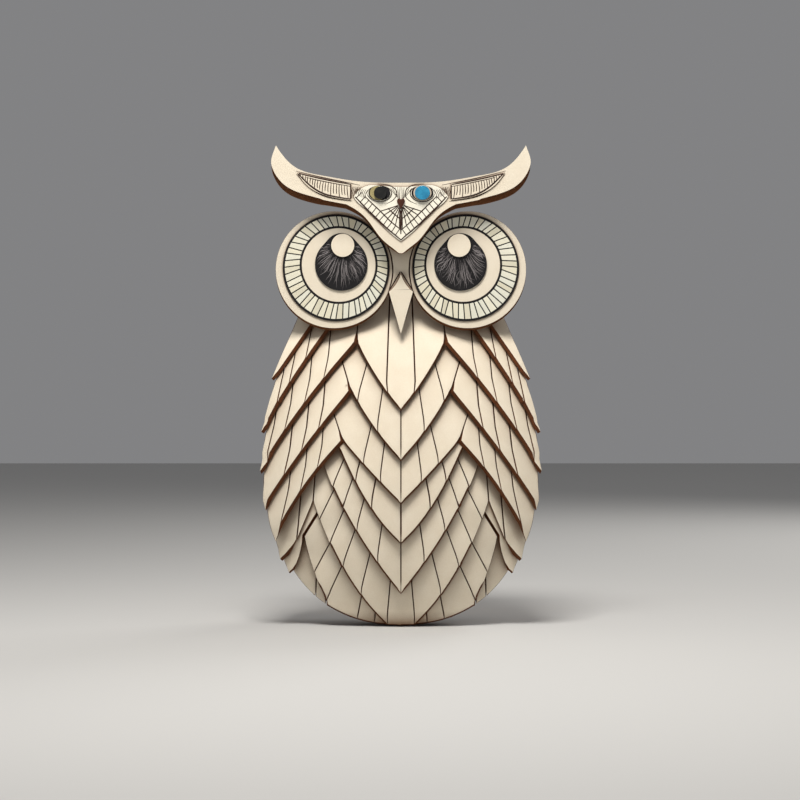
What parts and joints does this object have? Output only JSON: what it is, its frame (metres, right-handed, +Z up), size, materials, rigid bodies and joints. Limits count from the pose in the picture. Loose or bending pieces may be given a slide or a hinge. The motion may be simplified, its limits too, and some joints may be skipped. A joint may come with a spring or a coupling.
{
  "type": "paper bag puppet",
  "caption": "Owl hand puppet on a small gusseted paper bag: layered card feathers on a domed breast, ringed eyes and a horned brow on a hinged flap.",
  "frame": {"origin": "middle of the bag's open end, where the hand goes in", "axes": "+Z up, from the open end to the head; the owl faces -Y; +X to the viewer's right from the front"},
  "size_m": [0.1492, 0.0799, 0.2652],
  "materials": {
    "kraft_paper": "matt, faintly ribbed",
    "feather_card": "matt, with toasted edges",
    "cream_card": "matt",
    "eye_ring_card": "matt",
    "white_card": "matt",
    "brown_board": "matt",
    "black_card": "matt",
    "blue_inlay": "gloss",
    "dark_inlay": "gloss",
    "brown_inlay": "satin"
  },
  "bodies": {
    "front": {"backing_card": "brown_board", "bag_front_panel": "kraft_paper", "body_shell": "brown_board", "rib_centre": "brown_board", "rib_lower": "brown_board", "rib_middle": "brown_board", "rib_upper": "brown_board", "rim_band": "brown_board", "shoulder_lower_left_wing": "feather_card", "shoulder_lower_right_wing": "feather_card", "shoulder_upper_left_wing": "feather_card", "shoulder_upper_right_wing": "feather_card", "tier_1_breast": "feather_card", "tier_1_left_wing": "feather_card", "tier_1_right_wing": "feather_card", "tier_2_breast": "feather_card", "tier_2_left_wing": "feather_card", "tier_2_right_wing": "feather_card", "tier_3_breast": "feather_card", "tier_3_left_wing": "feather_card", "tier_3_right_wing": "feather_card", "tier_4_breast": "feather_card", "tier_5_breast": "feather_card", "tier_6_breast": "feather_card", "tier_6_left_wing": "feather_card", "tier_6_right_wing": "feather_card", "tier_7_breast": "feather_card", "tier_7_wings": "feather_card", "tier_8_wings": "feather_card"},
    "head": {"bag_flap": "kraft_paper", "beak": "cream_card", "brow_backer": "brown_board", "brow_beak": "brown_inlay", "brow_panel_centre": "white_card", "brow_panel_left": "white_card", "brow_panel_right": "white_card", "brow_plate": "cream_card", "brow_spacer": "brown_board", "catchlight_left": "cream_card", "catchlight_right": "cream_card", "eye_ring_left": "eye_ring_card", "eye_ring_right": "eye_ring_card", "eye_white_left": "cream_card", "eye_white_right": "cream_card", "face_backer": "brown_board", "face_plate": "cream_card", "gem_blue_right": "blue_inlay", "gem_dark_left": "dark_inlay", "gem_settings": "black_card", "pupil_left": "black_card", "pupil_right": "black_card", "riser_left": "brown_board", "riser_right": "brown_board"},
    "gusset_right_front": {"gusset_right_front": "kraft_paper"},
    "gusset_right_rear": {"gusset_right_rear": "kraft_paper"},
    "gusset_left_front": {"gusset_left_front": "kraft_paper"},
    "gusset_left_rear": {"gusset_left_rear": "kraft_paper"},
    "crown_front": {"crown_front": "kraft_paper"},
    "crown_rear": {"crown_rear": "kraft_paper"},
    "back": {"bag_back_panel": "kraft_paper"}
  },
  "joints": [
    {"name": "flap_hinge", "type": "hinge", "parent": "front", "child": "head", "pos_m": [0, -0.01803, 0.197], "axis": [-1, 0, 0], "range_deg": [0, 80]},
    {"name": "bag_fold", "type": "hinge", "parent": "front", "child": "gusset_right_front", "pos_m": [0.055, -0.01753, 0], "axis": [0, 0, -1], "range_deg": [-28, 45]},
    {"name": "right_middle_crease", "type": "hinge", "parent": "gusset_right_front", "child": "gusset_right_rear", "pos_m": [0.03066, 0, 0], "axis": [0, 0, 1], "range_deg": [-56, 90]},
    {"name": "right_rear_crease", "type": "hinge", "parent": "gusset_right_rear", "child": "back", "pos_m": [0.055, 0.01753, 0], "axis": [0, 0, -1], "range_deg": [-28, 45]},
    {"name": "left_front_crease", "type": "hinge", "parent": "front", "child": "gusset_left_front", "pos_m": [-0.055, -0.01753, 0], "axis": [0, 0, 1], "range_deg": [-28, 45]},
    {"name": "left_middle_crease", "type": "hinge", "parent": "gusset_left_front", "child": "gusset_left_rear", "pos_m": [-0.03066, 0, 0], "axis": [0, 0, -1], "range_deg": [-56, 90]},
    {"name": "crown_front_crease", "type": "hinge", "parent": "front", "child": "crown_front", "pos_m": [0, -0.01753, 0.197], "axis": [1, 0, 0], "range_deg": [-28, 45]},
    {"name": "crown_middle_crease", "type": "hinge", "parent": "crown_front", "child": "crown_rear", "pos_m": [0, 0, 0.17266], "axis": [-1, 0, 0], "range_deg": [-56, 90]}
  ],
  "couplings": [
    {"joint": "right_middle_crease", "follows": "bag_fold", "ratio": 2},
    {"joint": "right_rear_crease", "follows": "bag_fold", "ratio": 1},
    {"joint": "left_front_crease", "follows": "bag_fold", "ratio": 1},
    {"joint": "left_middle_crease", "follows": "bag_fold", "ratio": 2},
    {"joint": "crown_front_crease", "follows": "bag_fold", "ratio": 1},
    {"joint": "crown_middle_crease", "follows": "bag_fold", "ratio": 2}
  ]
}
